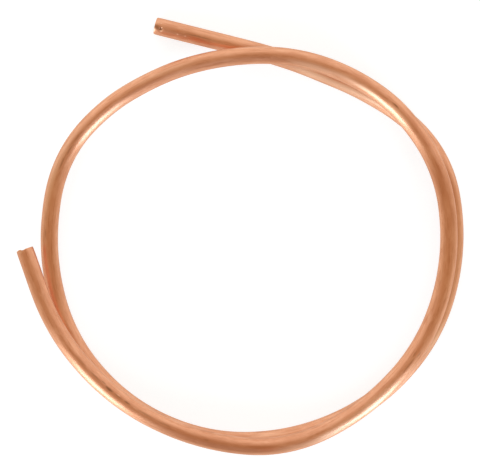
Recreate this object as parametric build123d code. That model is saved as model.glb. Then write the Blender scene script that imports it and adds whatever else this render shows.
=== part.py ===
from build123d import *
import os
from math import cos, pi, radians, sin, tan

# A short length of soft copper tube, bent by hand into a loose coil of nearly two turns and laid flat.
# Seen from above it runs clockwise from its start, at the back left, to its finish, at the left.
# The first turn lies on the floor. At the left it climbs, crosses over its own start, and the
# second turn lies on the first.
# Millimetres and degrees. X to the right, Y to the back, Z up, with the floor at Z = 0 and the
# origin below the middle of the coil's bounding box.

# The tube: 3/8 inch outside, 0.032 inch wall.
tube_outside = 9.525
tube_wall = 0.813
rim_break = 0.2

# The coil: bends stand at equal compass steps round its middle, each at its own distance from it,
# because the turns were made by hand. The numbers say how far each bend stands out from the ring.
ring_radius = 110.0
bend_step = 26.0
first_bend_compass = 80.0
first_turn_stands_out = (-3.5, -2.5, 8.5, 3.5, 1.0, -2.5, -4.5, -3.0, -1.0, 1.5)
climb_stands_out = (2.5, 7.0, 1.0)
second_turn_stands_out = (-3.0, -0.5, 2.0, 3.0, -1.5, -3.0, -4.0, -0.5, -3.0, -0.5, 6.0)

# The two ends run straight out of their last bends, to a square cut.
start_heading = 166.0
start_straight = 50.0
finish_heading = 109.0
finish_straight = 22.0

# The second turn rides this far above the first.
turn_clearance = 0.2

# Share of the shorter run beside a bend that the bend's arc takes up on each side of its corner.
arc_share = 0.49

bore = tube_outside - 2 * tube_wall
floor_height = tube_outside / 2
layer_rise = tube_outside + turn_clearance
stands_out = first_turn_stands_out + climb_stands_out + second_turn_stands_out
climb_first = len(first_turn_stands_out)
climb_steps = len(climb_stands_out) - 1


def layer_of(bend):
    """0 on the first turn, 1 on the second, and even steps between them on the climb."""
    climbed = (bend - climb_first) / climb_steps
    return min(max(climbed, 0), 1)


def bend_corner(bend):
    """Where the two straight runs beside a bend would meet."""
    compass = radians(first_bend_compass - bend * bend_step)
    distance = ring_radius + stands_out[bend]
    height = floor_height + layer_of(bend) * layer_rise
    return Vector(distance * cos(compass), distance * sin(compass), height)


def end_of_tube(corner, next_corner, heading, straight):
    """The cut end: past the outermost bend's arc and its straight run, level with that bend."""
    arc_reach = arc_share * (next_corner - corner).length
    direction = Vector(cos(radians(heading)), sin(radians(heading)), 0)
    return corner + direction * (arc_reach + straight)


def arc_radii(corners, start, finish):
    """One radius per corner, so that each arc reaches the same share of its shorter inner run."""
    points = [start] + corners + [finish]
    inner_runs = [(after - before).length for before, after in zip(corners, corners[1:])]
    runs_before = [inner_runs[0]] + inner_runs
    runs_after = inner_runs + [inner_runs[-1]]
    radii = []
    for place, corner in enumerate(corners):
        turn = (corner - points[place]).get_angle(points[place + 2] - corner)
        arc_reach = arc_share * min(runs_before[place], runs_after[place])
        radii.append(arc_reach / tan(radians(turn) / 2))
    return radii


def make_route():
    """The tube's centre line: straight runs joined by tangent arcs."""
    corners = [bend_corner(bend) for bend in range(len(stands_out))]
    start = end_of_tube(corners[0], corners[1], start_heading, start_straight)
    finish = end_of_tube(corners[-1], corners[-2], finish_heading, finish_straight)
    radii = arc_radii(corners, start, finish)
    print("bend radii", [round(radius) for radius in radii])
    return FilletPolyline(start, *corners, finish, radius=radii)


def make_tube(route):
    """The tube's ring-shaped section swept along the route, with the sharp rims taken off."""
    section_plane = Plane(origin=route @ 0, z_dir=route % 0)
    section = section_plane * (Circle(tube_outside / 2) - Circle(bore / 2))
    tube = sweep(section, path=route)
    cut_faces = [face for face in tube.faces() if face.geom_type == GeomType.PLANE]
    rims = [edge for face in cut_faces for edge in face.edges()]
    return chamfer(rims, rim_break)


route = make_route()
tube = make_tube(route)
middle = tube.bounding_box().center()
copper_tube = Pos(-middle.X, -middle.Y, 0) * tube

section_area = pi / 4 * (tube_outside**2 - bore**2)
print("length", round(route.length, 1), "section times length", round(section_area * route.length, 1))
print("volume", round(copper_tube.volume, 1), "middle", round(middle.X, 3), round(middle.Y, 3))

os.makedirs("parts", exist_ok=True)
export_step(copper_tube, "parts/copper_tube.step")
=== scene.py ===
import math

import bpy
import numpy as np
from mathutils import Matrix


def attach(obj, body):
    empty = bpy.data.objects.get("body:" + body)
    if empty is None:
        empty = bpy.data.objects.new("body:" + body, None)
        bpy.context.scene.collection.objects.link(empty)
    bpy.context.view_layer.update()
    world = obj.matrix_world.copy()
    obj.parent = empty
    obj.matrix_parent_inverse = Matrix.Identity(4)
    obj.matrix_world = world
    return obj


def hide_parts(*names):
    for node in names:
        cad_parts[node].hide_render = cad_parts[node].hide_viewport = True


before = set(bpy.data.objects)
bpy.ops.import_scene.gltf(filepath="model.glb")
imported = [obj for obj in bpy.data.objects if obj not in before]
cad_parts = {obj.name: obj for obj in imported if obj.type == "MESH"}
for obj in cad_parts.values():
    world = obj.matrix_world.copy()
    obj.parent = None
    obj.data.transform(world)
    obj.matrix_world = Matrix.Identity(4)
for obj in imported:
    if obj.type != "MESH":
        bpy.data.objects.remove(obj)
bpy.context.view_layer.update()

# A short length of bare soft copper tube, rolled by hand into a loose coil of nearly two turns. Seen from
# above it runs clockwise, from its start at the back left to its finish at the left.
# Metres and degrees. X to the right, Y to the back, Z up, floor at Z = 0.
MM = 0.001
TOP_OF_FLOOR = 0.0

# The tube, as its solid has it.
TUBE_OUTSIDE = 9.525 * MM
TUBE_WALL = 0.813 * MM
TUBE_RADIUS = TUBE_OUTSIDE / 2
BORE_RADIUS = TUBE_RADIUS - TUBE_WALL

# The coil's bends, as its solid has them: how far each stands out from the ring, in millimetres. A fitting
# program worked these out from the photograph, and the ends' headings and straights with them.
RING_RADIUS = 110.0 * MM
BEND_STEP = 26.0
FIRST_BEND_COMPASS = 80.0
FIRST_TURN_STANDS_OUT = (-3.5, -2.5, 8.5, 3.5, 1.0, -2.5, -4.5, -3.0, -1.0, 1.5)
CLIMB_STANDS_OUT = (2.5, 7.0, 1.0)
SECOND_TURN_STANDS_OUT = (-3.0, -0.5, 2.0, 3.0, -1.5, -3.0, -4.0, -0.5, -3.0, -0.5, 6.0)
START_HEADING = 166.0
START_STRAIGHT = 50.0 * MM
FINISH_HEADING = 109.0
FINISH_STRAIGHT = 22.0 * MM
TURN_CLEARANCE = 0.2 * MM
ARC_SHARE = 0.49

# How finely the centre line is worked out, over what length its bends run into each other, and how many
# widths of the bell that eases them are counted.
ARC_POINTS = 40
LINE_STEP = 0.25 * MM
LINE_EASE = 5.0 * MM
BELL_WIDTHS = 3

# How finely the surface is divided. An end's two steps are the one beside the rim, as far as the tube is
# worked there, and the one on the stretch after it.
POINTS_AROUND = 96
OUTER_STEP = 2.2 * MM
BORE_STEP = 5.0 * MM
OUTER_END_STEPS = (0.15 * MM, 0.5 * MM)
BORE_END_STEPS = (0.3 * MM, 1.0 * MM)
END_WORKED_LENGTH = 6.0 * MM
END_FINE_LENGTH = 14.0 * MM


def unit(vectors):
    """Each vector divided by its length."""
    return vectors / np.linalg.norm(vectors, axis=-1, keepdims=True)


def heading_direction(heading):
    """The level direction of a compass heading, counted from X towards Y."""
    return np.array([math.cos(math.radians(heading)), math.sin(math.radians(heading)), 0.0])


def bend_corners():
    """A corner every bend step round the ring's middle, clockwise, each at the ring radius plus its own
    stand-out; the height goes up by one layer in even steps over the climb's bends."""
    stands_out = np.array(FIRST_TURN_STANDS_OUT + CLIMB_STANDS_OUT + SECOND_TURN_STANDS_OUT) * MM
    bend = np.arange(len(stands_out))
    compass = np.radians(FIRST_BEND_COMPASS - bend * BEND_STEP)
    distance = RING_RADIUS + stands_out
    climbed = (bend - len(FIRST_TURN_STANDS_OUT)) / (len(CLIMB_STANDS_OUT) - 1)
    height = TOP_OF_FLOOR + TUBE_RADIUS + np.clip(climbed, 0, 1) * (TUBE_OUTSIDE + TURN_CLEARANCE)
    return np.stack([distance * np.cos(compass), distance * np.sin(compass), height], axis=1)


def bent_line(corners):
    """Straight runs joined by tangent arcs. An arc that turns by w from direction u to direction v, with
    radius r, passes through first + r * (sin(f w) u + (1 - cos(f w)) n) for f from 0 to 1, where n is
    square to u, in the plane of u and v, on the side of v."""
    inner_runs = np.linalg.norm(np.diff(corners, axis=0), axis=1)
    before = np.concatenate([inner_runs[:1], inner_runs])
    after = np.concatenate([inner_runs, inner_runs[-1:]])
    reach = ARC_SHARE * np.minimum(before, after)
    start = corners[0] + heading_direction(START_HEADING) * (reach[0] + START_STRAIGHT)
    finish = corners[-1] + heading_direction(FINISH_HEADING) * (reach[-1] + FINISH_STRAIGHT)
    points = np.vstack([start, corners, finish])
    u = unit(points[1:-1] - points[:-2])
    v = unit(points[2:] - points[1:-1])
    turn = np.arccos(np.clip((u * v).sum(axis=1), -1, 1))[:, None]
    n = unit(v - np.cos(turn) * u)
    radius = reach[:, None] / np.tan(turn / 2)
    first = corners - u * reach[:, None]
    angle = turn[:, :, None] * np.linspace(0, 1, ARC_POINTS)[None, :, None]
    arcs = first[:, None] + radius[:, :, None] * (
        np.sin(angle) * u[:, None] + (1 - np.cos(angle)) * n[:, None])
    return np.vstack([start, arcs.reshape(-1, 3), finish])


def eased(line):
    """The line with each point replaced by the bell-weighted mean of those beside it. Past its ends the line
    is carried on straight first, so the ends stay where they are."""
    reach = int(round(BELL_WIDTHS * LINE_EASE / LINE_STEP))
    offsets = np.arange(-reach, reach + 1)
    weights = np.exp(-0.5 * (offsets * LINE_STEP / LINE_EASE) ** 2)
    weights /= weights.sum()
    lead_in = line[0] + (line[0] - line[1]) * np.arange(reach, 0, -1)[:, None]
    lead_out = line[-1] + (line[-1] - line[-2]) * np.arange(1, reach + 1)[:, None]
    padded = np.vstack([lead_in, line, lead_out])
    return np.stack([np.convolve(padded[:, axis], weights, mode="valid") for axis in range(3)], axis=1)


def even_line(points):
    """The same line at even steps, with its bends run into each other: twice the eased line less the line
    eased twice, which leaves round stretches as wide as they were."""
    along = np.concatenate([[0], np.cumsum(np.linalg.norm(np.diff(points, axis=0), axis=1))])
    count = int(round(along[-1] / LINE_STEP)) + 1
    wanted = np.linspace(0, along[-1], count)
    line = np.stack([np.interp(wanted, along, points[:, axis]) for axis in range(3)], axis=1)
    once = eased(line)
    return 2 * once - eased(once)


class CentreLine:
    """The tube's middle line, read at any distance along it: the point, the direction, and the two
    directions square to it, one sideways and level and one upwards. It lies so that the middle of the
    tube's box is over the origin. The tube reaches past its line, along X or Y, by its radius times the
    root of one less the square of the direction's share along that axis."""

    def __init__(self):
        self.points = even_line(bent_line(bend_corners()))
        steps = np.linalg.norm(np.diff(self.points, axis=0), axis=1)
        self.along = np.concatenate([[0], np.cumsum(steps)])
        self.length = self.along[-1]
        self.tangent = unit(np.gradient(self.points, self.along, axis=0))
        bending = np.gradient(self.tangent, self.along, axis=0)
        self.bending = np.linalg.norm(bending, axis=1)
        reach = TUBE_RADIUS * np.sqrt(1 - self.tangent[:, :2] ** 2)
        low = (self.points[:, :2] - reach).min(axis=0)
        high = (self.points[:, :2] + reach).max(axis=0)
        self.ring_middle = -(low + high) / 2
        self.points[:, :2] += self.ring_middle

    def read(self, values, distance):
        """The values, a column or more, at each distance along the line."""
        columns = [np.interp(distance, self.along, column) for column in np.atleast_2d(values.T)]
        return np.stack(columns, axis=-1)

    def section_axes(self, distance):
        """Middle, sideways and upward directions of the section at each distance. Sideways is
        straight up times the direction of travel, so it points away from the ring's middle."""
        middle = self.read(self.points, distance)
        forward = unit(self.read(self.tangent, distance))
        sideways = unit(np.cross([0.0, 0.0, 1.0], forward))
        upward = np.cross(forward, sideways)
        return middle, sideways, upward


line = CentreLine()


def bell(values, centre, width):
    """1 at the centre, falling off as a bell of the given width."""
    return np.exp(-0.5 * ((values - centre) / width) ** 2)


def angle_gap(angle, centre):
    """The signed angle from the centre, between minus and plus half a turn."""
    return (angle - centre + math.pi) % (2 * math.pi) - math.pi


# The rounds on the edges of the cut rims, and how many points each takes.
RIM_ROUND = 0.18 * MM
RIM_POINTS = 4


def wall_rows(end_steps, step):
    """Distances along a wall from start to finish: in short steps where the cut ends are worked, in longer
    ones past there, and evenly spaced between the two ends."""
    worked = np.arange(RIM_ROUND, END_WORKED_LENGTH, end_steps[0])
    past = np.arange(END_WORKED_LENGTH, END_FINE_LENGTH, end_steps[1])
    end = np.concatenate([worked, past])
    count = int((line.length - 2 * END_FINE_LENGTH) / step)
    middle = np.linspace(END_FINE_LENGTH, line.length - END_FINE_LENGTH, count)
    return np.concatenate([end, middle, (line.length - end)[::-1]])


def ring_stations():
    """The closed profile that is carried round the tube: out along the outer wall from start to finish,
    round the finish rim, back along the bore, and round the start rim. Each rim is a flat face between
    two quarter rounds. Returns distances along the tube and radii."""
    edge = RIM_ROUND
    outer = wall_rows(OUTER_END_STEPS, OUTER_STEP)
    bore = wall_rows(BORE_END_STEPS, BORE_STEP)[::-1]
    quarter = np.radians(np.linspace(0, 90, RIM_POINTS + 2)[1:])
    outer_round = np.stack([edge * np.sin(quarter), TUBE_RADIUS - edge + edge * np.cos(quarter)], axis=1)
    inner_round = np.stack([edge * np.sin(quarter), BORE_RADIUS + edge - edge * np.cos(quarter)], axis=1)
    rim = np.vstack([outer_round, inner_round[::-1]])
    finish_along = line.length - edge + rim[:, 0]
    start_along = edge - rim[::-1, 0]
    along = np.concatenate([outer, finish_along, bore, start_along])
    radius = np.concatenate([np.full(len(outer), TUBE_RADIUS), rim[:, 1],
                             np.full(len(bore), BORE_RADIUS), rim[::-1, 1]])
    return along, radius


# The waver of the wall: how deep it is, how many times its depth the whole wall lies further in, so that it
# stays inside the solid's, and the waves that make it up.
WAVER_DEPTH = 0.012 * MM
WAVER_INWARDS = 1.5
WAVER_SEED = 7
WAVE_COUNT = 10
WAVE_SHARE = 0.25
WAVE_LENGTHS_MM = (14, 70)
WAVE_TURNS_BELOW = 4


def wavering(along, around):
    """The slight unevenness of hand-bent soft tube: a few long sine waves along the tube and around it,
    added up, between about minus and plus one."""
    chance = np.random.default_rng(WAVER_SEED)
    total = np.zeros(np.broadcast(along, around).shape)
    for wave in range(WAVE_COUNT):
        pitch = chance.uniform(*WAVE_LENGTHS_MM) * MM
        turns = chance.integers(0, WAVE_TURNS_BELOW)
        phase = chance.uniform(0, 2 * math.pi)
        total += WAVE_SHARE * np.sin(2 * math.pi * along / pitch + turns * around + phase)
    return total


# How far a bend of a given sharpness flattens the tube: this length times the bending is the share of its
# radius that its sides lose.
BEND_FLATTENING = 0.9 * MM

# Where the real tube strays a little from the even bends: the distance from the start, how far it strays
# away from the coil's middle, and over what length, all in millimetres.
STRAYS = ((99.0, -0.4, 9.0), (140.0, 0.4, 9.0), (590.0, -0.32, 17.0), (673.0, -0.5, 12.0),
          (818.0, 0.33, 10.0), (1225.0, -0.33, 20.0))


def straying(along):
    """How far the middle line stands out sideways at each distance: a bell for each stray, added up."""
    return sum(out * bell(along / MM, middle, width) for middle, out, width in STRAYS) * MM


# The cutter rolled each rim in by this much, fading over this length, and left a punched dimple near the
# start. Angles are counted in degrees from the top of the tube towards the outside of the coil.
RIM_ROLL = 0.2 * MM
RIM_ROLL_FADE = 1.1 * MM
DIMPLE = {"along": 4.0 * MM, "angle": -17.0, "depth": 0.5 * MM, "wide": 0.55 * MM}


def tube_radius_at(along, around, radius):
    """The radius of the wall at each distance and angle. Bending flattens the tube sideways by the
    flattening length times the bending, as the square of the sine of the angle; each rim rolls in, less and
    less away from it; the dimple presses in as a bell; and the whole wall wavers a little."""
    bending = line.read(line.bending, along)[..., 0]
    flattened = radius * BEND_FLATTENING * bending * np.sin(around) ** 2
    from_rim = np.minimum(along, line.length - along)
    rolled = RIM_ROLL * np.exp(-from_rim / RIM_ROLL_FADE)
    across = angle_gap(around, math.radians(DIMPLE["angle"])) * TUBE_RADIUS
    dimple = DIMPLE["depth"] * bell(np.hypot(along - DIMPLE["along"], across), 0, DIMPLE["wide"])
    waver = WAVER_DEPTH * (WAVER_INWARDS + wavering(along, around))
    return radius - flattened - rolled - dimple - waver


# The start is cut a little rounded. The finish is cut unevenly, with a notch beside a tooth that stands
# furthest out. Depths are how far the rim stands back from the square cut, angles and widths are in degrees,
# and what is cut back fades away along the tube over the last length.
START_BACK = 0.4 * MM
START_SIDES_BACK = 0.2 * MM
FINISH_BACK = 0.35 * MM
FINISH_TOOTH = {"angle": 37.0, "wide": 16.0}
FINISH_NOTCH = {"angle": 9.0, "wide": 9.0, "depth": 0.6 * MM}
RIM_BACK_FADE = 1.6 * MM


def cut_back(along, around):
    """Distances along the tube with the rims as they were cut. The start stands back evenly, and its sides
    further, as the square of the sine of the angle. The finish stands back evenly but for the tooth, a bell
    that reaches the square cut, and the notch, a bell that goes deeper. Both fade away from the rim."""
    start_back = START_BACK + START_SIDES_BACK * np.sin(around) ** 2
    tooth, notch = (bell(angle_gap(around, math.radians(part["angle"])), 0, math.radians(part["wide"]))
                    for part in (FINISH_TOOTH, FINISH_NOTCH))
    finish_back = FINISH_BACK * (1 - tooth) + FINISH_NOTCH["depth"] * notch
    start_fade = np.exp(-along / RIM_BACK_FADE)
    finish_fade = np.exp(-(line.length - along) / RIM_BACK_FADE)
    return along + start_back * start_fade - finish_back * finish_fade


# Zones on the outside, each an oval by its middle's distance from the start in millimetres, its angle
# from the top towards the outside of the coil in degrees, half its length along the tube and half its width
# in millimetres, and its strength. It is at full strength out to the first share of the way from its middle
# to its edge, and gone at the second. A program that compared the photograph with an earlier picture of this
# scene gave some of the places, here and for the small marks further down. The browned zones are partly
# patina from handling and partly painted shade; the rubbed zones are partly rubbed bright and partly
# painted highlight.
OVAL_FULL_TO = 0.25
OVAL_GONE_AT = 1.2
# Browned zones: partly patina from handling, partly painted shade.
BROWNED_AND_SHADED_ZONES = (
    (14.0, -26, 13.0, 2.4, 0.55), (190.0, -12, 20.0, 4.0, 0.75), (287.0, -14, 10.0, 2.4, 0.4),
    (325.0, 30, 10.0, 2.0, 0.4), (418.0, 22, 40.0, 6.0, 0.55), (458.0, 45, 28.0, 4.0, 0.45),
    (622.0, -24, 9.0, 2.6, 0.4), (674.0, -28, 19.0, 2.6, 0.6), (735.0, -12, 16.0, 1.6, 0.35),
    (835.0, 18, 22.0, 3.5, 0.4), (866.0, -22, 17.0, 8.0, 0.5), (868.0, 38, 16.0, 3.0, 0.45),
    (885.0, 37, 10.0, 2.4, 0.4), (1005.0, 24, 7.0, 1.4, 0.5), (1048.0, -20, 10.0, 2.2, 0.35),
    (1065.0, 0, 13.0, 1.8, 0.9), (1092.0, 14, 44.0, 5.0, 0.65), (1135.0, 25, 30.0, 2.6, 0.4),
    (1147.0, 8, 16.0, 5.0, 0.5), (1165.0, 12, 26.0, 2.4, 0.45),
)
# Rubbed zones: partly rubbed bright copper, partly painted highlight.
RUBBED_AND_HIGHLIGHT_ZONES = (
    (39.6, -31, 9.0, 2.2, 0.7), (80.0, -16, 24.0, 4.2, 0.3), (92.0, -31, 20.0, 3.7, 0.85),
    (105.0, 24, 14.0, 1.6, 0.4), (110.0, -34, 22.0, 3.4, 0.8), (127.0, -32, 10.0, 1.3, 1.0),
    (143.6, -2, 7.0, 1.5, 0.3), (240.0, 24, 34.0, 1.4, 0.3), (275.0, 36, 13.0, 2.2, 0.6),
    (328.0, 5, 12.0, 1.4, 0.3), (346.6, 38, 12.0, 1.6, 0.4), (385.0, -36, 12.0, 2.2, 0.35),
    (526.0, 9, 11.0, 1.5, 0.7), (531.0, 28, 14.0, 2.2, 1.0), (549.0, 17, 20.0, 1.8, 1.0),
    (605.0, 26, 36.0, 2.6, 0.45), (688.0, 8, 22.0, 1.5, 0.3), (768.0, -36, 16.0, 2.6, 0.6),
    (785.0, -26, 22.0, 2.2, 0.4), (801.0, -33, 12.0, 1.5, 0.9), (824.0, -14, 10.0, 1.2, 0.35),
    (998.0, 6, 22.0, 1.8, 0.5), (1010.0, 7, 22.0, 1.6, 0.4), (1027.0, 34, 12.0, 3.0, 0.6),
    (1038.0, 30, 20.0, 1.8, 0.4),
)
REDDENED_ZONES = (
    (13.4, -3, 1.2, 0.7, 0.5), (24.0, -24, 6.0, 1.3, 1.0), (490.0, 31, 3.0, 1.1, 0.4),
    (552.0, 6, 17.0, 2.0, 0.25), (961.0, 2, 6.0, 1.6, 0.25), (1060.0, 17, 7.0, 1.5, 0.4),
    (1234.6, 31, 1.6, 0.8, 0.5),
)


def zone_strength(along, around, zones):
    """How strongly each point is tinted by the zones, whose tints are partly wear and partly painted light:
    the most that any one zone, an oval, gives it. As s goes from 0, where an oval is full, to 1, where it is
    gone, its strength falls off as 1 - s * s * (3 - 2 * s)."""
    most = np.zeros(along.shape)
    for middle, angle, half_length, half_width, strength in zones:
        lengthwise = (along / MM - middle) / half_length
        across = angle_gap(around, math.radians(angle)) * TUBE_RADIUS / MM / half_width
        s = np.clip((np.hypot(lengthwise, across) - OVAL_FULL_TO) / (OVAL_GONE_AT - OVAL_FULL_TO), 0, 1)
        most = np.maximum(most, strength * (1 - s * s * (3 - 2 * s)))
    return most


def grid_mesh(name, points, uv, straight, wear_and_painted_light):
    """A mesh of four-sided faces on a grid that closes on itself both ways. The map's second coordinate
    goes on to 1 at the seam, so each corner gets its own."""
    rows, columns = points.shape[:2]
    row, column = np.meshgrid(np.arange(rows), np.arange(columns), indexing="ij")
    next_row, next_column = (row + 1) % rows, (column + 1) % columns
    corners = np.stack([row * columns + column, row * columns + next_column,
                        next_row * columns + next_column, next_row * columns + column], axis=-1)
    mesh = bpy.data.meshes.new(name)
    mesh.vertices.add(rows * columns)
    mesh.vertices.foreach_set("co", points.astype(np.float32).ravel())
    faces = corners.reshape(-1, 4)
    mesh.loops.add(faces.size)
    mesh.loops.foreach_set("vertex_index", faces.astype(np.int32).ravel())
    mesh.polygons.add(len(faces))
    mesh.polygons.foreach_set("loop_start", np.arange(0, faces.size, 4, dtype=np.int32))
    mesh.update(calc_edges=True)
    mesh.validate()
    across = np.stack([column, column + 1, column + 1, column], axis=-1) / columns
    lengthwise = np.stack([uv[row], uv[row], uv[next_row], uv[next_row]], axis=-1)
    layer = mesh.uv_layers.new(name="along_and_around")
    layer.data.foreach_set("uv", np.stack([lengthwise, across], axis=-1).astype(np.float32).ravel())
    attribute = mesh.attributes.new("straightened", "FLOAT_VECTOR", "POINT")
    attribute.data.foreach_set("vector", straight.astype(np.float32).ravel())
    attribute = mesh.attributes.new("brown_shade_rub_highlight_red", "FLOAT_VECTOR", "POINT")
    attribute.data.foreach_set("vector", wear_and_painted_light.astype(np.float32).ravel())
    mesh.polygons.foreach_set("use_smooth", np.ones(len(faces), dtype=bool))
    piece = bpy.data.objects.new(name, mesh)
    bpy.context.scene.collection.objects.link(piece)
    return piece


def make_tube():
    """The tube: its profile of distances and radii carried round every angle, each point set out from the
    middle line by its radius, sideways by the sine and upwards by the cosine of its angle."""
    along, radius = ring_stations()
    around = np.linspace(0, 2 * math.pi, POINTS_AROUND, endpoint=False)
    along = np.repeat(along[:, None], POINTS_AROUND, axis=1)
    radius = np.repeat(radius[:, None], POINTS_AROUND, axis=1)
    around = np.repeat(around[None, :], len(along), axis=0)
    reach = tube_radius_at(along, around, radius)
    place = cut_back(along, around)
    middle, sideways, upward = line.section_axes(place)
    middle = middle + straying(place)[..., None] * sideways
    points = middle + reach[..., None] * (
        np.sin(around)[..., None] * sideways + np.cos(around)[..., None] * upward)
    straight = np.stack([place, radius * np.sin(around), radius * np.cos(around)], axis=-1)
    # How strongly each zone tints each point: brown that is partly painted shade, rubbed copper that is
    # partly painted highlight, and red.
    wear_and_painted_light = np.stack([zone_strength(place, around, BROWNED_AND_SHADED_ZONES), zone_strength(place, around, RUBBED_AND_HIGHLIGHT_ZONES),
                     zone_strength(place, around, REDDENED_ZONES)], axis=-1)
    return grid_mesh("copper_tube_body", points, along[:, 0] / line.length, straight, wear_and_painted_light)


tube = make_tube()


# Bare copper: colours as linear light, not as screen values.
COPPER = (0.83, 0.385, 0.225, 1.0)
# The browned colour is also laid on as painted shade, in the browned zones.
COPPER_BROWN_AND_SHADE = (0.62, 0.235, 0.115, 1.0)
COPPER_FRESH = (0.92, 0.47, 0.295, 1.0)
COPPER_INSIDE = (0.42, 0.17, 0.09, 1.0)
# The soiled colour is also laid on as painted shade, at the start's rim and in its dimple.
COPPER_SOILED_AND_SHADED = (0.36, 0.15, 0.075, 1.0)
COPPER_REDDENED = (0.74, 0.24, 0.11, 1.0)
# The rubbed colour is also laid on as painted highlight and painted glints, in the rubbed zones and marks.
COPPER_RUBBED_AND_HIGHLIGHT = (1.0, 0.59, 0.395, 1.0)
EDGE_TINT = (0.84, 0.77, 0.71, 1.0)
MIDDLE_OF_WALL = (TUBE_RADIUS + BORE_RADIUS) / 2

# Patterns on the straightened tube, by how finely each is drawn along it and across it, per metre, and how
# far the edges of the marks wander.
GRAIN_SCALE = (6.0, 2600.0, 2600.0)
CLOUD_SCALE = (30.0, 150.0, 150.0)
PATCH_SCALE = (130.0, 450.0, 450.0)
STREAK_SCALE = (60.0, 900.0, 900.0)
WANDER_SCALE = 900.0
WANDER_REACH = (0.5 * MM, 0.2 * MM, 0.2 * MM)

# What a pattern does: its values from the first number to the second become the share of a colour, or the
# roughness, from the third to the fourth.
CLOUDS_BROWN = (0.45, 0.75, 0.0, 0.45)
STREAKS_BROWN = (0.48, 0.66, 0.0, 0.7)
PATCHES_FRESH = (0.46, 0.68, 0.0, 0.65)
GRAIN_ROUGHNESS = (0.25, 0.75, 0.34, 0.44)
CLOUDS_ROUGHER = (0.35, 0.7, -0.02, 0.05)

# The drawn lines: how much they stand out, and how far they spread the gloss across them. Over them lies a
# smooth shine.
GRAIN_STRENGTH = 0.12
GRAIN_DEPTH = 0.02 * MM
GLOSS_SPREAD = 0.65
GLOSS_QUARTER_TURN = 0.25
SMOOTH_SHINE = {"Coat Weight": 0.15, "Coat IOR": 2.0, "Coat Roughness": 0.12}

# Small marks on the outside, listed like the zones above. The soiled marks are dark smudges and streaks, but
# the first two, beside the start's rim and in its dimple, are painted shade. The rubbed marks are lighter
# spots; the five within 18 mm of the start are painted highlight and painted glints on the rim and round the
# dimple.
SOILED_AND_SHADED_MARKS = (
    (1.4, -14, 2.6, 1.6, 0.75), (4.0, -17, 1.4, 1.1, 1.0), (25.0, -6, 9.0, 0.5, 0.5),
    (139.3, 30, 4.2, 0.9, 0.8), (151.0, 14, 6.0, 0.4, 0.35), (287.6, 0, 2.0, 0.7, 0.45),
    (294.0, -6, 5.0, 0.5, 0.35), (303.0, 2, 6.0, 0.6, 0.35), (417.9, 14, 2.0, 0.7, 0.3),
    (432.0, 5, 3.0, 0.6, 0.3), (465.6, 1, 2.2, 0.5, 0.6), (470.0, 7, 4.5, 0.55, 0.5),
    (477.6, 11, 3.2, 0.9, 1.0), (482.0, 13, 3.0, 0.5, 0.8), (571.6, 22, 2.6, 0.6, 0.3),
    (611.0, 2, 5.0, 0.6, 0.4), (619.0, -3, 4.0, 0.5, 0.45), (628.0, 0, 4.0, 0.6, 0.3),
    (818.2, 4, 2.8, 0.6, 0.8), (962.4, 23, 2.0, 0.6, 0.4), (963.5, -4, 2.5, 0.5, 0.4),
    (970.0, 8, 6.0, 0.6, 0.35), (1093.4, -3, 1.8, 0.8, 0.3), (1118.0, -10, 6.0, 0.6, 0.3),
    (1129.0, -12, 7.0, 0.7, 0.4), (1141.0, -14, 2.6, 0.6, 0.85), (1147.0, -13, 4.0, 0.5, 0.5),
    (1153.2, -13, 3.2, 0.9, 1.0), (1157.9, -22, 2.0, 0.5, 0.5), (1163.0, -13, 6.0, 0.6, 0.45),
    (1175.0, -12, 5.0, 0.5, 0.3),
)
# Rubbed marks: lighter spots; those near the start are painted highlight and painted glints.
RUBBED_AND_GLINT_MARKS = (
    (1.6, 18, 1.6, 1.4, 0.35), (3.7, 20, 0.7, 0.5, 0.6), (4.2, -33, 0.8, 0.6, 1.0),
    (13.6, -26, 0.7, 0.5, 0.8), (17.9, -25, 0.7, 0.5, 0.7), (331.0, 17, 3.0, 0.5, 0.4),
    (460.0, 4, 2.4, 0.5, 0.3), (1135.3, -12, 2.6, 0.4, 0.4), (1147.3, -20, 1.5, 0.5, 0.5),
    (1242.3, 26, 1.0, 1.4, 0.5),
)


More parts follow.
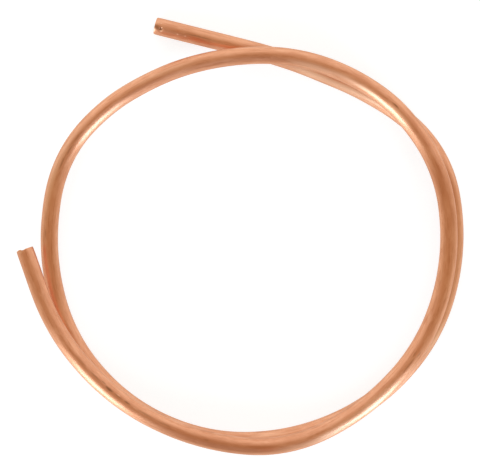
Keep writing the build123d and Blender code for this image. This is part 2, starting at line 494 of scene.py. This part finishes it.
class Nodes:
    """Short calls for making and joining the nodes of one tree."""

    # A mix node has sockets for every kind of value. These are the places of those for colours.
    MIX_SHARE, MIX_FIRST, MIX_SECOND, MIX_RESULT = 0, 6, 7, 2

    def __init__(self, tree):
        self.tree = tree
        self.tree.nodes.clear()

    def add(self, kind, inputs=None, **settings):
        """A node of this kind with its settings, and each input joined to a socket or set to a value."""
        node = self.tree.nodes.new(kind)
        for key, value in settings.items():
            setattr(node, key, value)
        for key, value in (inputs or {}).items():
            if isinstance(value, bpy.types.NodeSocket):
                self.tree.links.new(value, node.inputs[key])
            else:
                node.inputs[key].default_value = value
        return node

    def math(self, operation, first, second=0.0):
        """One sum on one or two values."""
        return self.add("ShaderNodeMath", {0: first, 1: second}, operation=operation).outputs[0]

    def between(self, value, low, high, to_low, to_high, shape="LINEAR"):
        """The value moved from one range to another and held inside it."""
        return self.add("ShaderNodeMapRange", {
            "Value": value, "From Min": low, "From Max": high, "To Min": to_low, "To Max": to_high},
            interpolation_type=shape).outputs[0]

    def mix(self, share, first, second):
        """The first colour giving way to the second as the share goes from 0 to 1."""
        mixed = self.add("ShaderNodeMix", {
            self.MIX_SHARE: share, self.MIX_FIRST: first, self.MIX_SECOND: second}, data_type="RGBA")
        return mixed.outputs[self.MIX_RESULT]

    def marked(self, vector, marks):
        """How strongly each point is marked: the most that any one mark, an oval, gives it. The vector is
        the place on the straightened tube."""
        most = None
        for along, angle, half_length, half_width, strength in marks:
            turned = math.radians(angle)
            middle = (along * MM, TUBE_RADIUS * math.sin(turned), TUBE_RADIUS * math.cos(turned))
            scale = (1 / (half_length * MM), 1 / (half_width * MM), 1 / (half_width * MM))
            place = self.add("ShaderNodeMapping", {
                "Vector": vector, "Scale": scale, "Location": [-m * s for m, s in zip(middle, scale)]})
            off = self.add("ShaderNodeVectorMath", {0: place.outputs[0]}, operation="LENGTH").outputs["Value"]
            share = self.between(off, OVAL_FULL_TO, OVAL_GONE_AT, strength, 0.0, "SMOOTHSTEP")
            most = share if most is None else self.math("MAXIMUM", most, share)
        return most

    def noise(self, vector, scale, detail=2.0, roughness=0.5):
        """A cloud pattern, 0 to 1, on coordinates stretched by the scale given for each axis."""
        stretched = self.add("ShaderNodeMapping", {"Vector": vector, "Scale": scale})
        cloud = self.add("ShaderNodeTexNoise", {
            "Vector": stretched.outputs[0], "Scale": 1.0, "Detail": detail, "Roughness": roughness})
        return cloud.outputs[0]


def new_material(name):
    """An empty material and the calls for its nodes."""
    material = bpy.data.materials.new(name)
    material.use_nodes = True
    return material, Nodes(material.node_tree)


def copper_material():
    """Bare drawn copper tube. The die's fine lines along its length spread the gloss across them. Handling
    has browned it in long clouds and streaks and left it fresher between. Over that lie browned, rubbed and
    reddened zones and soiled and rubbed marks, the marks with uneven edges. The browned zones and the soiled
    marks at the start are partly painted shade; the rubbed zones and the rubbed marks near the start are
    partly painted highlight and painted glints. The bore is dull and dark."""
    material, nodes = new_material("bare_copper")
    straight = nodes.add("ShaderNodeAttribute", attribute_name="straightened").outputs["Vector"]
    grain = nodes.noise(straight, GRAIN_SCALE, detail=3.0, roughness=0.6)
    clouds = nodes.noise(straight, CLOUD_SCALE, detail=4.0)
    patches = nodes.noise(straight, PATCH_SCALE, detail=4.0, roughness=0.6)
    streaks = nodes.noise(straight, STREAK_SCALE, detail=4.0, roughness=0.6)
    colour = nodes.mix(nodes.between(clouds, *CLOUDS_BROWN), COPPER, COPPER_BROWN_AND_SHADE)
    colour = nodes.mix(nodes.between(streaks, *STREAKS_BROWN), colour, COPPER_BROWN_AND_SHADE)
    colour = nodes.mix(nodes.between(patches, *PATCHES_FRESH), colour, COPPER_FRESH)
    wander = nodes.add("ShaderNodeTexNoise", {"Vector": straight, "Scale": WANDER_SCALE, "Detail": 2.0})
    wander = nodes.add("ShaderNodeMapping", {
        "Vector": wander.outputs["Color"], "Location": [-reach for reach in WANDER_REACH],
        "Scale": [2 * reach for reach in WANDER_REACH]})
    uneven = nodes.add("ShaderNodeVectorMath", {0: straight, 1: wander.outputs[0]}, operation="ADD")
    # Tints from the zones on the mesh: brown that is partly painted shade, rubbed copper that is partly
    # painted highlight, and red.
    wear_and_painted_light = nodes.add("ShaderNodeAttribute", attribute_name="brown_shade_rub_highlight_red").outputs["Vector"]
    wear_and_painted_light = nodes.add("ShaderNodeSeparateXYZ", {0: wear_and_painted_light}).outputs
    for share, tint in zip(wear_and_painted_light, (COPPER_BROWN_AND_SHADE, COPPER_RUBBED_AND_HIGHLIGHT, COPPER_REDDENED)):
        colour = nodes.mix(share, colour, tint)
    # The marks: soiled ones, partly painted shade at the start's rim and dimple, and rubbed ones, partly
    # painted glints there.
    for marks, tint in ((RUBBED_AND_GLINT_MARKS, COPPER_RUBBED_AND_HIGHLIGHT), (SOILED_AND_SHADED_MARKS, COPPER_SOILED_AND_SHADED)):
        colour = nodes.mix(nodes.marked(uneven.outputs[0], marks), colour, tint)
    parts = nodes.add("ShaderNodeSeparateXYZ", {0: straight}).outputs
    square = nodes.math("ADD", nodes.math("MULTIPLY", parts[1], parts[1]),
                        nodes.math("MULTIPLY", parts[2], parts[2]))
    inside = nodes.math("LESS_THAN", square, MIDDLE_OF_WALL ** 2)
    colour = nodes.mix(inside, colour, COPPER_INSIDE)
    roughness = nodes.math("ADD", nodes.between(grain, *GRAIN_ROUGHNESS),
                           nodes.between(clouds, *CLOUDS_ROUGHER))
    bump = nodes.add("ShaderNodeBump", {
        "Height": grain, "Strength": GRAIN_STRENGTH, "Distance": GRAIN_DEPTH})
    along = nodes.add("ShaderNodeTangent", direction_type="UV_MAP", uv_map="along_and_around")
    surface = nodes.add("ShaderNodeBsdfPrincipled", {
        "Base Color": colour, "Metallic": 1.0, "Roughness": roughness, "Normal": bump.outputs[0],
        "Anisotropic": GLOSS_SPREAD, "Anisotropic Rotation": GLOSS_QUARTER_TURN,
        "Tangent": along.outputs[0], "Specular Tint": EDGE_TINT, **SMOOTH_SHINE})
    nodes.add("ShaderNodeOutputMaterial", {"Surface": surface.outputs[0]})
    return material


tube.data.materials.append(copper_material())
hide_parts("copper_tube")
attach(tube, "root")


# The stage: a pale floor that keeps the shadow. It glows by itself, so that it looks white to the eye and
# nearly so in the metal, whatever the lamps do.
FLOOR_SIZE = 30.0
FLOOR_PALE = (0.5, 0.5, 0.5, 1.0)
GLOW_TO_THE_EYE = (0.65, 0.70, 0.735, 1.0)
GLOW_IN_METAL = (0.58, 0.665, 0.66, 1.0)
FLOOR_GLOSS_ROUGHNESS = 0.35


def floor_material():
    """A pale satin floor with a glow added where it is looked at straight or in a reflection."""
    material, nodes = new_material("pale_floor")
    path = nodes.add("ShaderNodeLightPath").outputs
    eye = nodes.math("MAXIMUM", path["Is Camera Ray"], path["Is Transmission Ray"])
    seen = nodes.math("MAXIMUM", eye, path["Is Glossy Ray"])
    satin = nodes.add("ShaderNodeBsdfPrincipled", {
        "Base Color": FLOOR_PALE, "Roughness": FLOOR_GLOSS_ROUGHNESS,
        "Emission Color": nodes.mix(eye, GLOW_IN_METAL, GLOW_TO_THE_EYE), "Emission Strength": seen})
    nodes.add("ShaderNodeOutputMaterial", {"Surface": satin.outputs[0]})
    return material


def make_floor():
    """One flat square on the level of the floor."""
    half = FLOOR_SIZE / 2
    mesh = bpy.data.meshes.new("floor")
    corners = [(-half, -half, TOP_OF_FLOOR), (half, -half, TOP_OF_FLOOR),
               (half, half, TOP_OF_FLOOR), (-half, half, TOP_OF_FLOOR)]
    mesh.from_pydata(corners, [], [(0, 1, 2, 3)])
    floor = bpy.data.objects.new("floor", mesh)
    bpy.context.scene.collection.objects.link(floor)
    mesh.materials.append(floor_material())
    return floor


make_floor()


# Light: a dim warm room with a pale screen round its back, and a tall bright lamp at each front corner.
# Directions are in degrees: compass from X towards Y, height above the horizon. The colours of the room and
# the screen, and the floor's glow in metal, were fitted to the photograph by a program and rounded.
WHITE = (1.0, 1.0, 1.0, 1.0)
ROOM_ABOVE = (0.51, 0.366, 0.203, 1.0)
ROOM_LOW = (0.725, 0.68, 0.54, 1.0)
ROOM_IN_FRONT = (0.55, 0.495, 0.44, 1.0)
SCREEN = (1.14, 1.16, 1.10, 1.0)
SCREEN_SIDES = (64.0, 80.0)
SCREEN_HEIGHT = (25.0, 90.0)
ROOM_LOW_SIDES = (135.0, 165.0)
ROOM_LOW_HEIGHT = (0.0, 60.0)
ROOM_IN_FRONT_SIDES = (165.0, 140.0)
ROOM_IN_FRONT_HEIGHT = (50.0, 85.0)


def set_surroundings():
    """The room's light by direction. Each part has its full share from the first of its two angles on,
    counted from the back, and up to the first of its two heights, and fades smoothly to nothing at the
    second ones. Looked at straight, everything is white."""
    world = bpy.data.worlds.new("surroundings")
    world.use_nodes = True
    nodes = Nodes(world.node_tree)
    direction = nodes.add("ShaderNodeTexCoord").outputs["Generated"]
    parts = nodes.add("ShaderNodeSeparateXYZ", {0: direction}).outputs
    height = nodes.math("DEGREES", nodes.math("ARCSINE", parts[2]))
    level = nodes.math("POWER", nodes.math("ADD", nodes.math("MULTIPLY", parts[0], parts[0]),
                                           nodes.math("MULTIPLY", parts[1], parts[1])), 0.5)
    from_back = nodes.math("DEGREES", nodes.math("ARCCOSINE", nodes.math("DIVIDE", parts[1], level)))

    def share(sides, heights):
        return nodes.math("MULTIPLY", nodes.between(from_back, *sides, 1.0, 0.0, "SMOOTHSTEP"),
                          nodes.between(height, *heights, 1.0, 0.0, "SMOOTHSTEP"))

    colour = nodes.mix(share(ROOM_LOW_SIDES, ROOM_LOW_HEIGHT), ROOM_ABOVE, ROOM_LOW)
    colour = nodes.mix(share(ROOM_IN_FRONT_SIDES, ROOM_IN_FRONT_HEIGHT), colour, ROOM_IN_FRONT)
    colour = nodes.mix(share(SCREEN_SIDES, SCREEN_HEIGHT), colour, SCREEN)
    path = nodes.add("ShaderNodeLightPath").outputs
    eye = nodes.math("MAXIMUM", path["Is Camera Ray"], path["Is Transmission Ray"])
    background = nodes.add("ShaderNodeBackground", {
        "Color": nodes.mix(eye, colour, WHITE), "Strength": 1.0})
    nodes.add("ShaderNodeOutputWorld", {"Surface": background.outputs[0]})
    bpy.context.scene.world = world


# The lamps: how far off they stand, and for each its compass and elevation in degrees, its width and height
# in metres, how bright it looks in a mirror, and its colour.
LAMP_DISTANCE = 2.4
LEFT_LAMP = {"compass": -132.0, "elevation": 21.0, "width": 0.6, "height": 1.6, "brightness": 6.6,
             "colour": (0.78, 1.05, 1.26)}
RIGHT_LAMP = {"compass": -52.0, "elevation": 19.0, "width": 0.6, "height": 1.5, "brightness": 6.4,
              "colour": (0.66, 0.97, 1.26)}


def soft_lamp(name, compass, elevation, width, height, brightness, colour):
    """A rectangular lamp that faces the coil's middle. Its power is pi times its area times how bright it
    looks."""
    lamp = bpy.data.lights.new(name, "AREA")
    lamp.shape = "RECTANGLE"
    lamp.size = width
    lamp.size_y = height
    lamp.energy = math.pi * width * height * brightness
    lamp.color = colour
    panel = bpy.data.objects.new(name, lamp)
    bpy.context.scene.collection.objects.link(panel)
    yaw, pitch = math.radians(compass), math.radians(elevation)
    place = np.array([math.cos(pitch) * math.cos(yaw), math.cos(pitch) * math.sin(yaw), math.sin(pitch)])
    panel.location = place * LAMP_DISTANCE
    panel.rotation_euler = (math.pi / 2 - pitch, 0.0, yaw + math.pi / 2)
    return panel


set_surroundings()
soft_lamp("left_front_lamp", **LEFT_LAMP)
soft_lamp("right_front_lamp", **RIGHT_LAMP)


# The camera looks straight down. The photograph is 480 pixels wide; the tube's outside, halfway up the
# coil, is this many of them, and the ring's middle is this far right of and below the picture's middle.
PICTURE_WIDTH_PX = 480
TUBE_WIDTH_PX = 17.55
RING_RIGHT_OF_MIDDLE_PX = 11.5
RING_BELOW_MIDDLE_PX = 14.0
CAMERA_ABOVE_COIL = 1.0
CAMERA_SEES_TO = 20.0
SENSOR_WIDTH_MM = 36.0


def set_camera(ring_middle):
    """A long lens straight above, so far up that the frame is as wide as the photograph at the height
    halfway between the two turns."""
    pixel = TUBE_OUTSIDE / TUBE_WIDTH_PX
    halfway = TOP_OF_FLOOR + TUBE_OUTSIDE + TURN_CLEARANCE / 2
    lens = bpy.data.cameras.new("camera")
    lens.sensor_width = SENSOR_WIDTH_MM
    lens.lens = SENSOR_WIDTH_MM * CAMERA_ABOVE_COIL / (PICTURE_WIDTH_PX * pixel)
    lens.clip_end = CAMERA_SEES_TO
    camera = bpy.data.objects.new("camera", lens)
    camera.location = (ring_middle[0] - RING_RIGHT_OF_MIDDLE_PX * pixel,
                       ring_middle[1] + RING_BELOW_MIDDLE_PX * pixel, halfway + CAMERA_ABOVE_COIL)
    bpy.context.scene.collection.objects.link(camera)
    bpy.context.scene.camera = camera


set_camera(line.ring_middle)

bpy.context.scene.view_settings.view_transform = "Standard"
